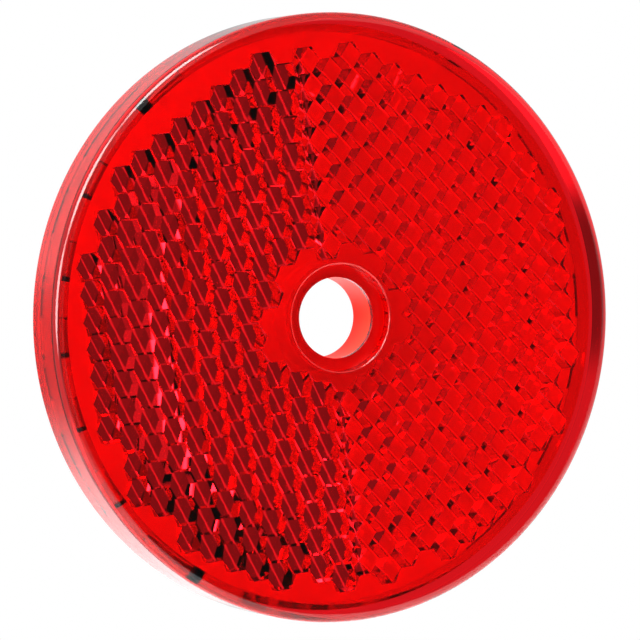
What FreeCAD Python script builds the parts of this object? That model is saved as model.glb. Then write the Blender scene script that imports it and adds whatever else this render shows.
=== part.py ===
"""Round centre-mount reflector for a driveway marker, in millimetres.

The disc stands upright with its axis along Y. Its clear front looks along -Y, its flat back
lies in the plane Y = 0, +Z is up, and the origin is where the bore's axis meets the back.
Two mouldings make it: a lens with a field of cube-corner prisms inside, and a back plate with
a hub, welded into the lens at the rim and around the bore, so that air stays behind the prisms.
"""
import FreeCAD, Part
import math
import os

import Sketcher
from FreeCAD import Vector

# Driving dimensions: cell alias, value in millimetres, what it measures.
DIMENSIONS = [
    ("outside_diameter", 82.5, "lens, over the skirt"),
    ("edge_radius", 1.3, "round between the front face and the skirt"),
    ("face_wall", 2.4, "clear wall in front of the prisms"),
    ("skirt_wall", 2.4, "lens wall at the rim"),
    ("ledge_width", 1.0, "step in the skirt that carries the plate"),
    ("plate_thickness", 1.6, "back plate"),
    ("plate_clearance", 0.05, "radial gap between the plate and the skirt"),
    ("plate_edge_chamfer", 0.3, "broken edge of the plate at the back"),
    ("bore_diameter", 11.0, "through hole for the fixing"),
    ("recess_step", 1.7, "flat step round the bore, sunk in the front face"),
    ("recess_depth", 1.6, "depth of that step below the front face"),
    ("recess_edge_radius", 0.3, "round at the top of the step's wall"),
    ("hub_wall", 2.0, "wall of the hub round the bore"),
    ("hub_root_radius", 0.5, "round between the hub and the plate"),
    ("prism_pitch", 3.6, "cube-corner prism, across its flats"),
    ("prism_root", 0.15, "clear sheet under the valleys between the prisms"),
    ("air_gap", 0.91, "air between the prisms' points and the plate"),
    ("prism_gap", 0.4, "least gap from a prism to the skirt or the hub"),
    ("prism_bite", 0.8, "how far a prism block reaches into the face wall"),
    ("field_drop", 1.05, "middle prism of a column, below the bore's axis"),
]

# Section formulas shared by the two mouldings: a radius, or a height in front of the back.
BORE = "bore_diameter / 2"
HUB = "bore_diameter / 2 + hub_wall"
RIM = "outside_diameter / 2"
REBATE = "outside_diameter / 2 - skirt_wall + ledge_width"
SKIRT_INSIDE = "outside_diameter / 2 - skirt_wall"
PLATE_RIM = "outside_diameter / 2 - skirt_wall + ledge_width - plate_clearance"
RECESS = "bore_diameter / 2 + recess_step"
BACK = "0"
LEDGE = "plate_thickness"
APEX = "plate_thickness + air_gap"
SHOULDER = "plate_thickness + air_gap + prism_pitch / sqrt(6)"
VALLEY = "plate_thickness + air_gap + prism_pitch * 2 / sqrt(6)"
INNER_FACE = f"{VALLEY} + prism_root"
FRONT = f"{INNER_FACE} + face_wall"
STEP = f"{FRONT} - recess_depth"

CORNER_DIRECTIONS = [math.radians(60 * corner) for corner in range(6)]
POINT_TOLERANCE = 1e-6

doc = FreeCAD.newDocument("centre_mount_reflector")
sheet = doc.addObject("Spreadsheet::Sheet", "dimensions")
for row, (alias, value, meaning) in enumerate(DIMENSIONS, start=1):
    sheet.set(f"A{row}", str(value))
    sheet.setAlias(f"A{row}", alias)
    sheet.set(f"B{row}", meaning)
doc.recompute()
ALIASES = {alias for alias, _, _ in DIMENSIONS}


def cells(formula):
    """Formula with each driving dimension written as its cell in the sheet."""
    words = formula.split()
    return " ".join(f"{sheet.Name}.{word}" if word in ALIASES else word for word in words)


def length(formula):
    """Value of a formula of driving dimensions."""
    return float(sheet.evalExpression(cells(formula)))


def turned_body(label, corners):
    """Body turned about Y from its corners, each a radius and a height before the back."""
    body = doc.addObject("PartDesign::Body", label)
    sketch = body.newObject("Sketcher::SketchObject", f"{label}_section")
    plane = next(each for each in body.Origin.OriginFeatures if each.Role == "XY_Plane")
    sketch.AttachmentSupport = [(plane, "")]
    sketch.MapMode = "FlatFace"
    points = [Vector(length(radius), -length(height), 0) for radius, height in corners]
    for start, end in zip(points, points[1:] + points[:1]):
        sketch.addGeometry(Part.LineSegment(start, end), False)
    start_point, end_point = 1, 2
    origin = (-1, 1)
    for line, (radius, height) in enumerate(corners):
        following = (line + 1) % len(corners)
        sketch.addConstraint(
            Sketcher.Constraint("Coincident", line, end_point, following, start_point))
        across = sketch.addConstraint(
            Sketcher.Constraint("DistanceX", *origin, line, start_point, points[line].x))
        sketch.setExpression(f"Constraints[{across}]", cells(radius))
        if height == BACK:
            sketch.addConstraint(Sketcher.Constraint("PointOnObject", line, start_point, -1))
            continue
        forward = sketch.addConstraint(
            Sketcher.Constraint("DistanceY", line, start_point, *origin, -points[line].y))
        sketch.setExpression(f"Constraints[{forward}]", cells(height))
    turn = body.newObject("PartDesign::Revolution", f"{label}_turn")
    turn.Profile = sketch
    turn.ReferenceAxis = (sketch, ["V_Axis"])
    turn.Angle = 360
    doc.recompute()
    return body, turn


def round_edge(shape, radius, height):
    """Name of the circular edge at a radius and a height before the back."""
    for number, edge in enumerate(shape.Edges, start=1):
        circle = edge.Curve
        if not isinstance(circle, Part.Circle):
            continue
        if abs(circle.Radius - length(radius)) > POINT_TOLERANCE:
            continue
        if abs(circle.Center.y + length(height)) < POINT_TOLERANCE:
            return f"Edge{number}"
    raise ValueError(f"no edge of radius {radius} at height {height}")


def dress(body, base, kind, setting, alias, radius, height):
    """Fillet or chamfer on one circular edge of a turned body."""
    feature = body.newObject(f"PartDesign::{kind}", f"{body.Label}_{alias}")
    feature.Base = (base, [round_edge(base.Shape, radius, height)])
    feature.setExpression(setting, cells(alias))
    doc.recompute()
    return feature


def lens_shell():
    """Lens without its prisms: face wall, skirt, ledge for the plate and sunk step."""
    body, turn = turned_body("lens_shell", [
        (RECESS, FRONT),
        (RIM, FRONT),
        (RIM, BACK),
        (REBATE, BACK),
        (REBATE, LEDGE),
        (SKIRT_INSIDE, LEDGE),
        (SKIRT_INSIDE, INNER_FACE),
        (BORE, INNER_FACE),
        (BORE, STEP),
        (RECESS, STEP),
    ])
    rounded = dress(body, turn, "Fillet", "Radius", "edge_radius", RIM, FRONT)
    dress(body, rounded, "Fillet", "Radius", "recess_edge_radius", RECESS, FRONT)
    return body


def back_plate():
    """Back plate with the hub that lines the bore and meets the face wall."""
    body, turn = turned_body("back_plate", [
        (BORE, INNER_FACE),
        (HUB, INNER_FACE),
        (HUB, LEDGE),
        (PLATE_RIM, LEDGE),
        (PLATE_RIM, BACK),
        (BORE, BACK),
    ])
    root = dress(body, turn, "Fillet", "Radius", "hub_root_radius", HUB, LEDGE)
    dress(body, root, "Chamfer", "Size", "plate_edge_chamfer", PLATE_RIM, BACK)
    return body


def prism_cells(side):
    """Centres (x, z) of the prisms on one side of the field, -1 left or +1 right.

    The prisms stand in columns along Z. The middle column belongs to both sides, which meet in
    the plane X = 0.
    """
    pitch = length("prism_pitch")
    column_step = pitch * math.cos(math.radians(30))
    reach = pitch / math.sqrt(3)
    largest = length(f"{SKIRT_INSIDE} - prism_gap")
    smallest = length(f"{HUB} + prism_gap")
    centres = []
    count = math.ceil(largest / column_step) + 1
    for column in range(count):
        x = side * column * column_step
        offset = (pitch / 2 if column % 2 else 0.0) - length("field_drop")
        for row in range(-count, count + 1):
            z = row * pitch + offset
            radii = [math.hypot(x + reach * math.cos(turn), z + reach * math.sin(turn))
                     for turn in CORNER_DIRECTIONS]
            if max(radii) <= largest and min(radii) >= smallest:
                centres.append((x, z))
    return centres


def prism_block(side):
    """Solid of the prisms on one side.

    Each prism is the corner of a cube with its diagonal along the disc's axis. On each side one
    of its three edges runs towards the middle of the disc, so the sides are half a turn apart.
    """
    pitch = length("prism_pitch")
    reach = pitch / math.sqrt(3)
    valley = -length(VALLEY)
    shoulder = -length(SHOULDER)
    apex = -length(APEX)
    floor = -length(f"{INNER_FACE} + prism_bite")
    centres = prism_cells(side)
    taken = {(round(x, 3), round(z, 3)) for x, z in centres}
    shoulder_parity = 0 if side < 0 else 1
    faces = []
    for x, z in centres:
        rim = []
        for corner, turn in enumerate(CORNER_DIRECTIONS):
            height = shoulder if corner % 2 == shoulder_parity else valley
            rim.append(Vector(x + reach * math.cos(turn), height, z + reach * math.sin(turn)))
        base = [Vector(point.x, floor, point.z) for point in rim]
        top = Vector(x, apex, z)
        outlines = [base]
        for corner in range(shoulder_parity, 6, 2):
            outlines.append([top] + [rim[(corner + step) % 6] for step in range(3)])
        for corner, turn in enumerate(CORNER_DIRECTIONS):
            facing = turn + math.radians(30)
            beyond = x + pitch * math.cos(facing), z + pitch * math.sin(facing)
            if (round(beyond[0], 3), round(beyond[1], 3)) in taken:
                continue
            following = (corner + 1) % 6
            outlines.append([base[corner], base[following], rim[following], rim[corner]])
        faces += [Part.Face(Part.makePolygon(outline + outline[:1])) for outline in outlines]
    skin = Part.Compound(faces)
    skin.sewShape()
    block = Part.Solid(skin.Shells[0])
    if block.Volume < 0:
        block.reverse()
    rim = length(RIM)
    half = Part.makeBox(2 * rim, rim, 2 * rim, Vector(0 if side > 0 else -2 * rim, -rim, -rim))
    halves = block.common(half).Solids
    if len(halves) != 1:
        raise ValueError("the prisms on one side don't hang together")
    block = halves[0]
    feature = doc.addObject("Part::Feature", "prisms_left" if side < 0 else "prisms_right")
    feature.Shape = block
    return feature


def reflector_lens():
    """Lens as one moulding: its shell and both halves of the prism field."""
    lens = doc.addObject("Part::MultiFuse", "reflector_lens")
    lens.Shapes = [lens_shell(), prism_block(-1), prism_block(+1)]
    doc.recompute()
    return lens


parts = [reflector_lens(), back_plate()]
doc.recompute()

for item in doc.Objects:
    if "Invalid" in item.State or "Error" in item.State:
        raise RuntimeError(f"{item.Label} failed: {item.State}")
for item in parts:
    if item.Shape.isNull() or not item.Shape.isValid() or len(item.Shape.Solids) != 1:
        raise RuntimeError(f"{item.Label} has no sound solid")

os.makedirs("parts", exist_ok=True)
for item in parts:
    item.Shape.exportStep(f"parts/{item.Label}.step")
    print(item.Label, round(item.Shape.Volume, 1), "mm3", len(item.Shape.Faces), "faces")
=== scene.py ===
"""Round centre-mount reflector of a driveway marker: lens, back plate and a small studio.

Lengths are in metres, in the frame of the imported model. The disc's axis lies along Y, its clear
front looks along -Y, its flat back lies in the plane Y = 0 and +Z is up.
"""

import math
from contextlib import contextmanager

import bmesh
import bpy
from bpy.props import FloatProperty, FloatVectorProperty, IntProperty, PointerProperty
from mathutils import Matrix, Vector


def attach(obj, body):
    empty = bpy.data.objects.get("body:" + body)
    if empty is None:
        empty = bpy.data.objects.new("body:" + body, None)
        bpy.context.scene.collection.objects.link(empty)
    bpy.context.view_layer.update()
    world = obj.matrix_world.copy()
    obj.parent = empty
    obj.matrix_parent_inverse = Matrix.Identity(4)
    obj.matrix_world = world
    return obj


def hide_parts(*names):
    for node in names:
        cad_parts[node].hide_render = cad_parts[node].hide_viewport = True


bl_info = {
    "name": "Centre-mount reflector",
    "version": (1, 0, 0),
    "blender": (4, 5, 0),
    "location": "3D View > Sidebar > Reflector",
    "description": "Models a round prismatic reflector with its back plate and a studio",
    "category": "Object",
}

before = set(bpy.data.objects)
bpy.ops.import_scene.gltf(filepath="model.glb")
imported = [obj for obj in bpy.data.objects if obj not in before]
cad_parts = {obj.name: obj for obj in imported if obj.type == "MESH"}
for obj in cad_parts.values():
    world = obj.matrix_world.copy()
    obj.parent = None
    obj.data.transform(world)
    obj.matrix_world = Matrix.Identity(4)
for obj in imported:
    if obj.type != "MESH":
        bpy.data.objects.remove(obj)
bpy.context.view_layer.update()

MM = 0.001
ON_PLACE = 1e-5      # two places closer than this are the same
TOO_CLOSE = 1e-6     # corners closer than this are merged
OVERLAP = 1e-5       # how far the two prism blocks reach into each other
SAME_WAY = 0.99      # least dot product of a cap's normal with its direction
SAME_LINE = 0.999    # least dot product of two parallel edges
CAP_SIDES = 8        # a cap has more sides than this
FLAT = math.radians(0.5)
SMOOTH_ANGLE = math.radians(20)
FRONTWARD = Vector((0, -1, 0))
BACKWARD = Vector((0, 1, 0))

HEX_CORNERS = [math.radians(60 * corner) for corner in range(6)]
# Corner of the prism, for the left and the right field, whose edge is rounded.
CREASED_CORNERS = {-1: math.radians(120), +1: math.radians(300)}
EDGE_SEGMENTS = 10
STEP_SEGMENTS = 6
CREASE_SEGMENTS = 2

PLATE_SIDES = 192
HUB_ROOT_SEGMENTS = 5
BORE_BREAK = 0.15 * MM
BORE_BREAK_SEGMENTS = 2
PIN_COUNT = 6
PIN_SIDES = 48
PIN_FIRST_TURN = 31.3    # degrees, off the lines on which the plate's own corners lie


# ---------------------------------------------------------------- sizes and colours

def size(name, description, default):
    """Length property in metres."""
    return FloatProperty(name=name, description=description, default=default,
                         min=0.0, unit="LENGTH", precision=5)


class LensSettings(bpy.types.PropertyGroup):
    rim_radius: size("Rim radius", "Outside of the skirt", 41.25 * MM)
    edge_radius: size("Edge radius", "Round between front face and skirt", 1.3 * MM)
    front: size("Front", "Front face, in front of the back plane", 8.0 * MM)
    inner_face: size("Inner face", "Inside of the face wall", 5.6 * MM)
    ledge: size("Ledge", "Step that carries the back plate", 1.6 * MM)
    skirt_inside: size("Skirt inside", "Inside of the skirt", 38.85 * MM)
    rebate: size("Rebate", "Seat of the back plate in the skirt", 39.85 * MM)
    step_radius: size("Step radius", "Sunk step round the bore", 7.2 * MM)
    step_depth: size("Step depth", "Depth of the sunk step", 1.6 * MM)
    step_edge: size("Step edge", "Round at the top of the step's wall", 0.3 * MM)
    pitch: size("Prism pitch", "Cube-corner prism across its flats", 3.6 * MM)
    root: size("Prism root", "Clear sheet under the prism valleys", 0.15 * MM)
    bite: size("Prism bite", "How far the prism blocks reach into the wall", 0.8 * MM)
    field_inside: size("Field inside", "Least radius of a prism corner", 7.9 * MM)
    field_outside: size("Field outside", "Largest radius of a prism corner", 38.45 * MM)
    field_drop: size("Field drop", "Middle prism of a column, below the bore's axis", 1.05 * MM)
    crease: size("Crease", "Round along one of the three edges of a prism", 0.16 * MM)
    sides: IntProperty(name="Sides", description="Straight runs round the rim",
                       default=256, min=64, max=512)
    colour: FloatVectorProperty(name="Colour", description="Tint of the clear acrylic",
                                subtype="COLOR", default=(0.95, 0.006, 0.012),
                                min=0.0, max=1.0)


class PlateSettings(bpy.types.PropertyGroup):
    radius: size("Plate radius", "Outside of the back plate", 39.8 * MM)
    thickness: size("Thickness", "Back plate", 1.6 * MM)
    bore: size("Bore radius", "Through hole for the fixing", 5.5 * MM)
    hub: size("Hub radius", "Outside of the hub round the bore", 7.5 * MM)
    hub_front: size("Hub front", "Where the hub meets the lens", 5.58 * MM)
    hub_root: size("Hub root", "Round between hub and plate", 0.5 * MM)
    edge_chamfer: size("Edge chamfer", "Broken edge of the plate at the back", 0.3 * MM)
    pin_radius: size("Pin mark radius", "Round ejector marks on the back", 2.5 * MM)
    pin_circle: size("Pin circle", "Radius on which the marks stand", 27.0 * MM)
    pin_depth: size("Pin depth", "Depth of the marks", 0.12 * MM)
    colour: FloatVectorProperty(name="Colour", description="Moulded plastic",
                                subtype="COLOR", default=(0.92, 0.03, 0.012),
                                min=0.0, max=1.0)


class StudioSettings(bpy.types.PropertyGroup):
    azimuth: FloatProperty(name="Azimuth", description="Camera round the disc",
                           default=math.radians(-24.34), subtype="ANGLE")
    elevation: FloatProperty(name="Elevation", description="Camera above the horizon",
                             default=math.radians(4.27), subtype="ANGLE")
    roll: FloatProperty(name="Roll", description="Turn of the camera about its line of sight",
                        default=math.radians(-6.8), subtype="ANGLE")
    distance: size("Distance", "Camera to the middle of the back", 0.52)
    lens: FloatProperty(name="Lens", description="Focal length in millimetres",
                        default=213.8, min=10.0)
    floor: size("Floor", "Drop from the disc's middle to the floor", 0.20)


# ---------------------------------------------------------------- modelling helpers

def select_only(*pieces):
    """Select these objects and make the first one active."""
    bpy.ops.object.select_all(action="DESELECT")
    for piece in pieces:
        piece.select_set(True)
    bpy.context.view_layer.objects.active = pieces[0]


@contextmanager
def editing(piece):
    """Edit mode on one piece, left again at the end."""
    select_only(piece)
    bpy.ops.object.mode_set(mode="EDIT")
    yield
    bpy.ops.object.mode_set(mode="OBJECT")


def pick(kind, test):
    """Select the faces, edges or corners that pass a test, and nothing else."""
    bpy.ops.mesh.select_mode(type=kind)
    bpy.ops.mesh.select_all(action="DESELECT")
    piece = bpy.context.view_layer.objects.active
    shape = bmesh.from_edit_mesh(piece.data)
    found = [part for part in {"VERT": shape.verts, "EDGE": shape.edges,
                               "FACE": shape.faces}[kind] if test(part)]
    if not found:
        raise RuntimeError(f"nothing to pick on {piece.name}")
    for part in found:
        part.select_set(True)
    shape.select_flush_mode()
    bmesh.update_edit_mesh(piece.data)


def off_axis(point):
    """Distance from the disc's axis."""
    return math.hypot(point.x, point.z)


def ring_edge(radius, y):
    """Test for the edges of a circle about the axis."""
    return lambda edge: all(abs(off_axis(corner.co) - radius) < ON_PLACE
                            and abs(corner.co.y - y) < ON_PLACE for corner in edge.verts)


def cap(direction):
    """Test for the many-sided cap that looks in a direction."""
    return lambda face: len(face.verts) > CAP_SIDES and face.normal.dot(direction) > SAME_WAY


def turn_steps(radius, y, steps):
    """Carry the picked cap through the steps of a turned profile.

    Each step is a radius and a Y, of which one differs from the step before.
    """
    for next_radius, next_y in steps:
        bpy.ops.mesh.extrude_region_move(
            TRANSFORM_OT_translate={"value": (0, next_y - y, 0)})
        if next_radius != radius:
            scale = next_radius / radius
            bpy.ops.transform.resize(value=(scale, 1, scale), center_override=(0, next_y, 0))
        radius, y = next_radius, next_y


def disc_blank(name, radius, front, back, sides):
    """Plain disc about the Y axis, the start of a turned moulding."""
    bpy.ops.object.select_all(action="DESELECT")
    bpy.ops.mesh.primitive_cylinder_add(
        vertices=sides, radius=radius, depth=back - front, end_fill_type="NGON",
        location=(0, (front + back) / 2, 0), rotation=(math.pi / 2, 0, 0))
    piece = bpy.context.active_object
    piece.name = piece.data.name = name
    bpy.ops.object.transform_apply(location=True, rotation=True, scale=True)
    return piece


def round_ring(radius, y, width, segments):
    """Bevel the circular edge at a radius and a Y."""
    pick("EDGE", ring_edge(radius, y))
    bpy.ops.mesh.bevel(offset=width, offset_type="OFFSET", segments=segments,
                       profile=0.5, affect="EDGES")


def apply_modifier(piece, kind, **settings):
    """Add a modifier with these settings and apply it."""
    select_only(piece)
    modifier = piece.modifiers.new(kind.lower(), kind)
    for name, value in settings.items():
        setattr(modifier, name, value)
    bpy.ops.object.modifier_apply(modifier=modifier.name)


def combine(piece, other, operation):
    """Unite a piece with another solid, or cut that solid out of it."""
    apply_modifier(piece, "BOOLEAN", operation=operation, object=other, solver="EXACT")
    select_only(other)
    bpy.ops.object.delete()
    with editing(piece):
        bpy.ops.mesh.select_all(action="SELECT")
        bpy.ops.mesh.remove_doubles(threshold=TOO_CLOSE)
        bpy.ops.mesh.dissolve_degenerate(threshold=TOO_CLOSE)


def smooth(piece):
    """Smooth shading that keeps flats flat and sharp edges crisp."""
    select_only(piece)
    bpy.ops.object.shade_smooth_by_angle(angle=SMOOTH_ANGLE)
    apply_modifier(piece, "WEIGHTED_NORMAL", mode="FACE_AREA", keep_sharp=True)


# ---------------------------------------------------------------- shader helpers

class Signal:
    """Value socket that takes part in Python arithmetic."""

    def __init__(self, board, socket):
        self.board = board
        self.socket = socket

    def combined(self, operation, first, second):
        return self.board.signal("ShaderNodeMath", {"operation": operation},
                                 {0: first, 1: second})

    def __add__(self, other):
        return self.combined("ADD", self, other)

    def __radd__(self, other):
        return self.combined("ADD", other, self)

    def __mul__(self, other):
        return self.combined("MULTIPLY", self, other)

    def __rmul__(self, other):
        return self.combined("MULTIPLY", other, self)

    def __pow__(self, other):
        return self.combined("POWER", self, other)


class Board:
    """Node tree of a material or a world, filled node by node."""

    def __init__(self, tree):
        self.tree = tree
        tree.nodes.clear()

    def node(self, kind, settings=None, inputs=None):
        """Add a node: its settings first, then the values or links of its sockets."""
        made = self.tree.nodes.new(kind)
        for name, value in (settings or {}).items():
            if name == "stops":
                for stop, (place, colour) in zip(made.color_ramp.elements, value):
                    stop.position, stop.color = place, colour
            else:
                setattr(made, name, value)
        for name, value in (inputs or {}).items():
            if isinstance(value, Signal):
                self.tree.links.new(value.socket, made.inputs[name])
            else:
                made.inputs[name].default_value = value
        return made

    def signal(self, kind, settings=None, inputs=None, output=0):
        """Add a node and give one of its outputs."""
        return Signal(self, self.node(kind, settings, inputs).outputs[output])

    def ramp(self, value, low, high, low_result=0.0, high_result=1.0):
        """Smooth step of a value between two results."""
        return self.signal("ShaderNodeMapRange", {"interpolation_type": "SMOOTHSTEP"},
                           {"Value": value, "From Min": low, "From Max": high,
                            "To Min": low_result, "To Max": high_result})

    def noise(self, place, scale, detail=2.0, roughness=0.5):
        """Soft noise whose blobs are 1 / scale metres apart."""
        return self.signal("ShaderNodeTexNoise", {},
                           {"Vector": place, "Scale": scale, "Detail": detail,
                            "Roughness": roughness})

    def mixed(self, factor, first, second):
        """Blend of two colours."""
        return self.signal("ShaderNodeMix", {"data_type": "RGBA"},
                           {0: factor, 6: first, 7: second}, output=2)


def material_board(name):
    """New material with an empty board, and its object coordinates."""
    material = bpy.data.materials.new(name)
    material.use_nodes = True
    board = Board(material.node_tree)
    place = board.signal("ShaderNodeTexCoord", output="Object")
    return material, board, place


def opaque(colour, scale=1.0):
    """Colour with alpha, made lighter or darker."""
    return tuple(min(1.0, channel * scale) for channel in colour) + (1.0,)


def parted(board, place):
    """X, Y and Z of a place as signals."""
    made = board.node("ShaderNodeSeparateXYZ", {}, {0: place})
    return [Signal(board, made.outputs[axis]) for axis in range(3)]


def clear_red_acrylic(colour):
    """Polished tinted acrylic, a little hazed where it is handled."""
    material, board, place = material_board("clear_red_acrylic")
    haze = board.noise(place, 180.0, 3.0)
    grain = board.noise(place, 2600.0, 2.0)
    scuff = board.ramp(haze, 0.45, 0.75)
    tint = board.mixed(board.noise(place, 60.0), opaque(colour), opaque(colour, 0.97))
    roughness = 0.015 + scuff * 0.02 + grain * 0.01
    shader = board.node("ShaderNodeBsdfPrincipled", {}, {
        "Base Color": tint, "Roughness": roughness, "IOR": 1.49,
        "Transmission Weight": 1.0})
    board.node("ShaderNodeOutputMaterial", {},
               {"Surface": Signal(board, shader.outputs[0])})
    return material


def red_plate_plastic(colour):
    """Solid red moulded plastic with a fine spark-eroded grain."""
    material, board, place = material_board("red_plate_plastic")
    clouds = board.noise(place, 90.0, 3.0)
    grain = board.noise(place, 3500.0, 2.0)
    tint = board.mixed(board.ramp(clouds, 0.3, 0.7), opaque(colour), opaque(colour, 0.96))
    roughness = 0.34 + clouds * 0.1 + grain * 0.05
    bump = board.signal("ShaderNodeBump", {}, {
        "Strength": 0.25, "Distance": 0.00003, "Height": grain})
    shader = board.node("ShaderNodeBsdfPrincipled", {}, {
        "Base Color": tint, "Roughness": roughness, "Normal": bump, "IOR": 1.5,
        "Specular IOR Level": 0.15})
    board.node("ShaderNodeOutputMaterial", {},
               {"Surface": Signal(board, shader.outputs[0])})
    return material


# ---------------------------------------------------------------- lens

def lens_shell(settings):
    """Face wall, skirt, ledge and sunk step of the lens, without its prisms."""
    front, inner, ledge = -settings.front, -settings.inner_face, -settings.ledge
    floor = front + settings.step_depth
    bore = bpy.context.scene.back_plate.bore
    rim, step = settings.rim_radius, settings.step_radius
    shell = disc_blank("prismatic_lens", rim, front, 0.0, settings.sides)
    with editing(shell):
        pick("FACE", cap(FRONTWARD))
        turn_steps(rim, front, [(step, front), (step, floor), (bore, floor)])
        pick("FACE", cap(BACKWARD))
        turn_steps(rim, 0.0, [(settings.rebate, 0.0), (settings.rebate, ledge),
                              (settings.skirt_inside, ledge), (settings.skirt_inside, inner),
                              (bore, inner)])
        pick("FACE", lambda face: len(face.verts) > CAP_SIDES)
        bpy.ops.mesh.bridge_edge_loops()
        round_ring(rim, front, settings.edge_radius, EDGE_SEGMENTS)
        round_ring(step, front, settings.step_edge, STEP_SEGMENTS)
    return shell


def whole_prism(settings, x, z):
    """True if every corner of the prism at a centre lies inside the field."""
    reach = settings.pitch / math.sqrt(3)
    radii = [math.hypot(x + reach * math.cos(turn), z + reach * math.sin(turn))
             for turn in HEX_CORNERS]
    return min(radii) >= settings.field_inside and max(radii) <= settings.field_outside


def prism_block(settings, side):
    """Solid of the prisms on one side of the field, -1 left or +1 right.

    One prism is the corner of a cube whose diagonal lies along the disc's axis. The prisms on
    the two sides are half a turn apart, so each side sends back light from its own slant. One
    edge in three is rounded, with the groove that carries it on.
    """
    pitch = settings.pitch
    reach = pitch / math.sqrt(3)
    shoulder = pitch / math.sqrt(6)
    column_step = pitch * math.cos(math.radians(30))
    valley = -settings.inner_face + settings.root
    rows = math.ceil(settings.field_outside / pitch) + 1
    parity = 0 if side < 0 else 1
    meeting = Vector((-side * OVERLAP, 0, 0))
    centre = Vector((0, valley, -rows * pitch - settings.field_drop))

    bpy.ops.object.select_all(action="DESELECT")
    bpy.ops.mesh.primitive_circle_add(vertices=6, radius=reach, fill_type="TRIFAN",
                                      location=centre, rotation=(math.pi / 2, 0, 0))
    field = bpy.context.active_object
    bpy.ops.object.transform_apply(location=True, rotation=True, scale=True)

    def corner_number(corner):
        away = corner.co - centre
        if off_axis(away) < reach / 2:
            return None
        return round(math.degrees(math.atan2(away.z, away.x)) / 60) % 6

    with editing(field):
        bpy.ops.mesh.select_all(action="SELECT")
        bpy.ops.transform.rotate(value=math.radians(30), orient_axis="Y",
                                 center_override=centre)
        pick("VERT", lambda corner: corner_number(corner) is None)
        bpy.ops.transform.translate(value=(0, 2 * shoulder, 0))
        pick("VERT", lambda corner: corner_number(corner) is not None
             and corner_number(corner) % 2 == parity)
        bpy.ops.transform.translate(value=(0, shoulder, 0))
    steps = {"use_relative_offset": False, "use_constant_offset": True}
    apply_modifier(field, "ARRAY", count=2 * rows + 1,
                   constant_offset_displace=(0, 0, pitch), **steps)
    with editing(field):
        bpy.ops.mesh.select_all(action="SELECT")
        bpy.ops.mesh.duplicate_move(TRANSFORM_OT_translate={
            "value": (side * column_step, 0, pitch / 2)})
    apply_modifier(field, "ARRAY", count=rows,
                   constant_offset_displace=(side * 2 * column_step, 0, 0), **steps)

    def beyond(face):
        point = max((corner.co for corner in face.verts), key=lambda place: place.y)
        return not whole_prism(settings, point.x, point.z)

    rounded = CREASED_CORNERS[side]
    along = Vector((reach * math.cos(rounded), -shoulder, reach * math.sin(rounded))).normalized()

    def creased(edge):
        run = (edge.verts[1].co - edge.verts[0].co).normalized()
        return len(edge.link_faces) == 2 and abs(run.dot(along)) > SAME_LINE

    with editing(field):
        pick("FACE", beyond)
        bpy.ops.mesh.delete(type="FACE")
        bpy.ops.mesh.select_all(action="SELECT")
        bpy.ops.mesh.remove_doubles(threshold=ON_PLACE)
        bpy.ops.mesh.select_all(action="SELECT")
        bpy.ops.mesh.dissolve_limited(angle_limit=FLAT)
        pick("EDGE", creased)
        bpy.ops.mesh.bevel(offset=settings.crease, offset_type="OFFSET",
                           segments=CREASE_SEGMENTS, profile=0.5, affect="EDGES",
                           clamp_overlap=True)
        bpy.ops.mesh.select_all(action="SELECT")
        bpy.ops.mesh.bisect(plane_co=meeting, plane_no=(1, 0, 0), threshold=TOO_CLOSE,
                            clear_outer=side < 0, clear_inner=side > 0)
        bpy.ops.mesh.select_all(action="SELECT")
        bpy.ops.mesh.remove_doubles(threshold=TOO_CLOSE)
        bpy.ops.mesh.select_all(action="SELECT")
        bpy.ops.mesh.region_to_loop()
        bpy.ops.mesh.extrude_region_move()
        bpy.ops.transform.resize(value=(1, 0, 1), center_override=(
            0, -settings.inner_face - settings.bite, 0))
        bpy.ops.mesh.edge_face_add()
        bpy.ops.mesh.select_all(action="SELECT")
        bpy.ops.mesh.normals_make_consistent(inside=False)
    return field


class REFLECTOR_OT_lens(bpy.types.Operator):
    """Model the clear lens with both fields of cube-corner prisms"""
    bl_idname = "reflector.lens"
    bl_label = "Lens"
    bl_options = {"REGISTER", "UNDO"}

    def execute(self, context):
        settings = context.scene.reflector_lens
        lens = lens_shell(settings)
        for side in (-1, +1):
            combine(lens, prism_block(settings, side), "UNION")
        smooth(lens)
        lens.data.materials.clear()
        lens.data.materials.append(clear_red_acrylic(settings.colour))
        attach(lens, "root")
        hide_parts("reflector_lens")
        return {"FINISHED"}


# ---------------------------------------------------------------- back plate

def pin_marks(settings):
    """Cutter for the shallow round marks that the ejector pins leave on the back."""
    marks = []
    for number in range(PIN_COUNT):
        turn = math.radians(360 / PIN_COUNT * number + PIN_FIRST_TURN)
        mark = disc_blank("pin", settings.pin_radius, -settings.pin_depth, 1 * MM, PIN_SIDES)
        with editing(mark):
            bpy.ops.mesh.select_all(action="SELECT")
            bpy.ops.transform.translate(value=(settings.pin_circle * math.cos(turn), 0,
                                               settings.pin_circle * math.sin(turn)))
        marks.append(mark)
    select_only(*marks)
    bpy.ops.object.join()
    return marks[0]


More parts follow.
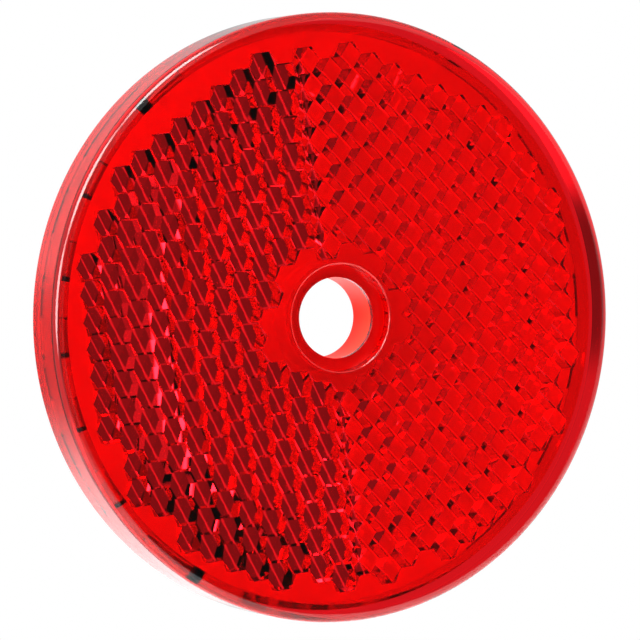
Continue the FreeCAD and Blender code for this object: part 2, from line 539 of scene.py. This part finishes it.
class REFLECTOR_OT_back_plate(bpy.types.Operator):
    """Model the back plate with the hub that lines the bore"""
    bl_idname = "reflector.back_plate"
    bl_label = "Back plate"
    bl_options = {"REGISTER", "UNDO"}

    def execute(self, context):
        settings = context.scene.back_plate
        radius, bore, hub = settings.radius, settings.bore, settings.hub
        front, hub_front = -settings.thickness, -settings.hub_front
        plate = disc_blank("hubbed_back_plate", radius, front, 0.0, PLATE_SIDES)
        with editing(plate):
            pick("FACE", cap(FRONTWARD))
            turn_steps(radius, front, [(hub, front), (hub, hub_front), (bore, hub_front)])
            pick("FACE", cap(BACKWARD))
            turn_steps(radius, 0.0, [(bore, 0.0)])
            pick("FACE", lambda face: len(face.verts) > CAP_SIDES)
            bpy.ops.mesh.bridge_edge_loops()
            round_ring(hub, front, settings.hub_root, HUB_ROOT_SEGMENTS)
            round_ring(radius, 0.0, settings.edge_chamfer, 1)
            round_ring(bore, 0.0, BORE_BREAK, BORE_BREAK_SEGMENTS)
        combine(plate, pin_marks(settings), "DIFFERENCE")
        smooth(plate)
        plate.data.materials.clear()
        plate.data.materials.append(red_plate_plastic(settings.colour))
        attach(plate, "root")
        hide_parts("back_plate")
        return {"FINISHED"}


# ---------------------------------------------------------------- studio

def direction(azimuth, elevation):
    """Unit vector from the disc, with azimuth and elevation in degrees as for the camera."""
    turn, rise = math.radians(azimuth), math.radians(elevation)
    return Vector((math.sin(turn) * math.cos(rise), -math.cos(turn) * math.cos(rise),
                   math.sin(rise)))


# Surround behind the disc and in front of it, and how far forward each level holds.
LEVEL_BEHIND, LEVEL_IN_FRONT = 0.9, 1.25
BEHIND_TO, IN_FRONT_FROM = 0.0, 0.8
DIMMEST = 0.1

# Soft panels round the disc: azimuth, elevation, inner and outer half angle, level. They are
# added to the surround, so a negative level dims it.
PANELS = [
    (25, -4, 10, 22, -1.2),   # dark, where the front face mirrors it
    (-24, 4, 14, 40, -0.95),  # dim, where the prisms send the camera's view back
    (-66, 12, 8, 17, 17.0),   # bright, for the white line on the rounded edge
    (-56, 40, 8, 18, 22.0),   # bright, its middle part
    (-20, 62, 8, 18, 22.0),   # bright, its upper part
    (-151, -4, 8, 18, -0.6),  # dim, where the left of the skirt mirrors it
    (175, -30, 10, 30, 0.6),  # light, for the lower left of the skirt
]

FLOOR_SIZE = 1.6
FLOOR_WHITE_FROM, FLOOR_WHITE_TO = 0.12, 0.30    # from the middle, as the camera sees it
FLOOR_FADES_FROM, FLOOR_FADES_TO = 0.25, 0.75    # from the middle, as the disc mirrors it


def studio_world():
    """Surround a little brighter in front of the disc, soft panels, and a white background."""
    world = bpy.data.worlds.new("studio_world")
    bpy.context.scene.world = world
    world.use_nodes = True
    board = Board(world.node_tree)
    towards = board.signal("ShaderNodeTexCoord", output="Generated")

    def facing(axis):
        return board.signal("ShaderNodeVectorMath", {"operation": "DOT_PRODUCT"},
                            {0: towards, 1: axis}, output="Value")

    level = board.ramp(facing(FRONTWARD), BEHIND_TO, IN_FRONT_FROM,
                       LEVEL_BEHIND, LEVEL_IN_FRONT)
    for azimuth, elevation, inner, outer, strength in PANELS:
        level = level + board.ramp(
            facing(direction(azimuth, elevation)), math.cos(math.radians(outer)),
            math.cos(math.radians(inner)), 0.0, strength)
    level = board.signal("ShaderNodeMath", {"operation": "MAXIMUM"}, {0: level, 1: DIMMEST})
    lit = board.signal("ShaderNodeBackground", {}, {"Strength": level})
    white = board.signal("ShaderNodeBackground", {},
                         {"Color": (1, 1, 1, 1), "Strength": 1.0})
    seen = board.signal("ShaderNodeLightPath", output="Is Camera Ray")
    shown = board.signal("ShaderNodeMixShader", {}, {0: seen, 1: lit, 2: white})
    board.node("ShaderNodeOutputWorld", {}, {"Surface": shown})


def studio_floor(drop):
    """Pale floor that keeps the disc's shadow and fades to white further out."""
    bpy.ops.object.select_all(action="DESELECT")
    bpy.ops.mesh.primitive_plane_add(size=FLOOR_SIZE, location=(0, 0, -drop))
    floor = bpy.context.active_object
    floor.name = "studio_floor"
    bpy.ops.object.transform_apply(location=True, rotation=True, scale=True)
    material, board, place = material_board("pale_floor")
    across, along, _ = parted(board, place)
    away = (across * across + along * along) ** 0.5
    far = board.ramp(away, FLOOR_WHITE_FROM, FLOOR_WHITE_TO)
    seen = board.signal("ShaderNodeLightPath", output="Is Camera Ray")
    matt = board.signal("ShaderNodeBsdfDiffuse", {}, {"Color": (0.9, 0.9, 0.9, 1)})
    gone = board.signal("ShaderNodeBsdfTransparent")
    faded = board.signal("ShaderNodeMixShader", {},
                         {0: board.ramp(away, FLOOR_FADES_FROM, FLOOR_FADES_TO),
                          1: matt, 2: gone})
    white = board.signal("ShaderNodeEmission", {},
                         {"Color": (1, 1, 1, 1), "Strength": 1.0})
    shown = board.signal("ShaderNodeMixShader", {}, {0: far * seen, 1: faded, 2: white})
    board.node("ShaderNodeOutputMaterial", {}, {"Surface": shown})
    floor.data.materials.append(material)


def studio_camera(settings):
    """Long lens at the left of the disc, a little above it."""
    turn, rise, roll = settings.azimuth, settings.elevation, settings.roll
    back = direction(math.degrees(turn), math.degrees(rise))
    right = Vector((math.cos(turn), math.sin(turn), 0))
    up = back.cross(right)
    rolled_right = math.cos(roll) * right + math.sin(roll) * up
    rolled_up = back.cross(rolled_right)
    lens = bpy.data.cameras.new("studio_camera")
    lens.sensor_width = 36.0
    lens.lens = settings.lens
    lens.clip_start, lens.clip_end = 0.05, 20.0
    lens.shift_x, lens.shift_y = 0.0056, -0.005
    camera = bpy.data.objects.new("studio_camera", lens)
    placed = Matrix((rolled_right, rolled_up, back)).transposed().to_4x4()
    placed.translation = back * settings.distance
    camera.matrix_world = placed
    bpy.context.collection.objects.link(camera)
    bpy.context.scene.camera = camera


class REFLECTOR_OT_studio(bpy.types.Operator):
    """Set the floor, the soft light and the camera round the disc"""
    bl_idname = "reflector.studio"
    bl_label = "Studio"
    bl_options = {"REGISTER", "UNDO"}

    def execute(self, context):
        settings = context.scene.reflector_studio
        studio_world()
        studio_floor(settings.floor)
        studio_camera(settings)
        context.scene.view_settings.view_transform = "Standard"
        return {"FINISHED"}


class REFLECTOR_PT_panel(bpy.types.Panel):
    """Sizes, colours and steps of the reflector"""
    bl_idname = "REFLECTOR_PT_panel"
    bl_label = "Centre-mount reflector"
    bl_space_type = "VIEW_3D"
    bl_region_type = "UI"
    bl_category = "Reflector"

    def draw(self, context):
        scene = context.scene
        for group, operator in (("reflector_lens", REFLECTOR_OT_lens),
                                ("back_plate", REFLECTOR_OT_back_plate),
                                ("reflector_studio", REFLECTOR_OT_studio)):
            box = self.layout.box()
            settings = getattr(scene, group)
            for name in settings.__annotations__:
                box.prop(settings, name)
            box.operator(operator.bl_idname)


CLASSES = (LensSettings, PlateSettings, StudioSettings, REFLECTOR_OT_lens,
           REFLECTOR_OT_back_plate, REFLECTOR_OT_studio, REFLECTOR_PT_panel)


def register():
    for each in CLASSES:
        bpy.utils.register_class(each)
    bpy.types.Scene.reflector_lens = PointerProperty(type=LensSettings)
    bpy.types.Scene.back_plate = PointerProperty(type=PlateSettings)
    bpy.types.Scene.reflector_studio = PointerProperty(type=StudioSettings)


def unregister():
    del bpy.types.Scene.reflector_studio
    del bpy.types.Scene.back_plate
    del bpy.types.Scene.reflector_lens
    for each in reversed(CLASSES):
        bpy.utils.unregister_class(each)


def main():
    register()
    bpy.ops.reflector.lens()
    bpy.ops.reflector.back_plate()
    bpy.ops.reflector.studio()


if __name__ == "__main__":
    main()
